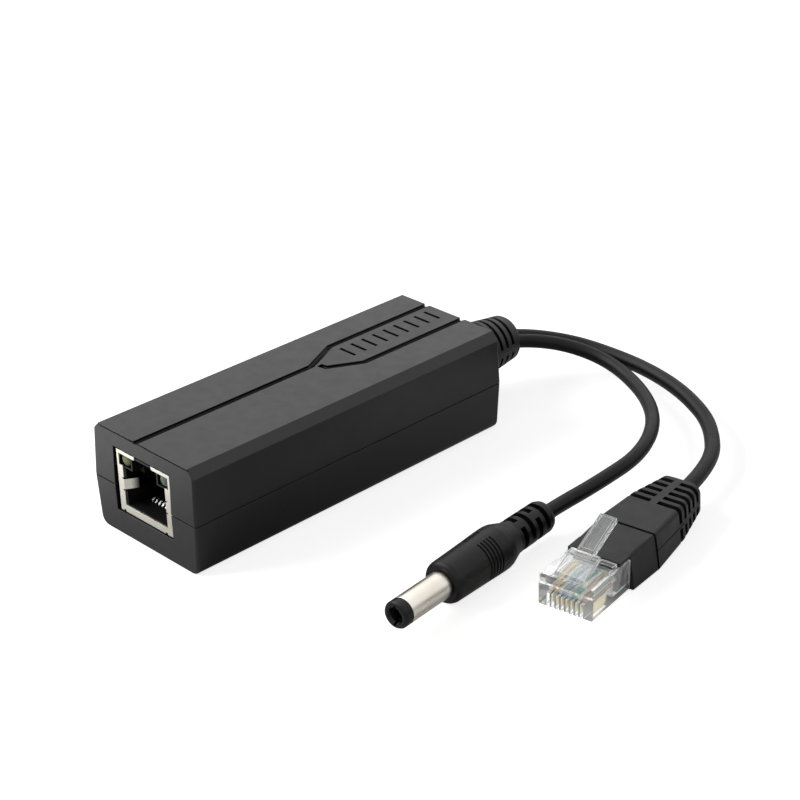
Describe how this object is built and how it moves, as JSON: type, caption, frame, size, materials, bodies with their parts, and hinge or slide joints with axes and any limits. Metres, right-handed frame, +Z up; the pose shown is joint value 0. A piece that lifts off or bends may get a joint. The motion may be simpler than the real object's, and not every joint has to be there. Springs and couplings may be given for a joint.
{
  "type": "poe splitter",
  "caption": "Power over Ethernet splitter: slim black case with a shielded network jack, and short cords to a clear network plug and a round power plug.",
  "frame": {"origin": "centre of the underside of the case, on the surface it stands on", "axes": "+X across the case, +Y along it from the network jack to the cords, +Z up"},
  "size_m": [0.0942, 0.1195, 0.0228],
  "materials": {
    "case_plastic": "fine spark-eroded satin black",
    "plated_steel": "satin nickel plate",
    "jack_plastic": "moulded black",
    "gold_plate": "gold-plated phosphor bronze",
    "lens_yellow": "tinted lens",
    "lens_green": "tinted lens",
    "board_green": "solder mask",
    "chip_epoxy": "moulded epoxy",
    "tinned_lead": "tinned",
    "ferrite": "matte sintered ferrite",
    "bobbin_plastic": "moulded black",
    "copper_winding": "enamelled copper",
    "capacitor_can": "sleeved can",
    "chip_ceramic": "ceramic",
    "wire_pairs": "coloured insulation",
    "wire_red_black": "coloured insulation",
    "cord_jacket": "smooth satin black jacket",
    "boot_rubber": "soft matte black",
    "tip_plastic": "moulded black",
    "barrel_nickel": "satin nickel plate",
    "pin_metal": "nickel plate",
    "clear_plastic": "clear polycarbonate"
  },
  "bodies": {
    "root": {"top_shell": "case_plastic", "bottom_shell": "case_plastic", "jack_shield": "plated_steel", "jack_housing": "jack_plastic", "jack_contacts": "gold_plate", "jack_lamp_left": "lens_yellow", "jack_lamp_right": "lens_green", "circuit_board": "board_green", "line_transformer": "chip_epoxy", "line_transformer_leads": "tinned_lead", "bridge_rectifiers": "chip_epoxy", "bridge_rectifier_leads": "tinned_lead", "controller_chip": "chip_epoxy", "controller_chip_leads": "tinned_lead", "transformer_core": "ferrite", "transformer_bobbin": "bobbin_plastic", "transformer_winding": "copper_winding", "transformer_feet": "tinned_lead", "input_capacitor": "capacitor_can", "output_capacitors": "capacitor_can", "output_choke": "ferrite", "chip_passives": "chip_ceramic", "data_leads": "wire_pairs", "power_leads": "wire_red_black", "power_cord": "cord_jacket", "data_cord": "cord_jacket", "cable_boot": "boot_rubber", "power_plug_insulator": "tip_plastic", "power_plug_barrel": "barrel_nickel", "power_plug_contact": "pin_metal", "power_plug_grip": "boot_rubber", "data_plug_body": "clear_plastic", "data_plug_blades": "gold_plate", "data_plug_wires": "wire_pairs", "data_plug_boot": "boot_rubber"}
  },
  "joints": []
}
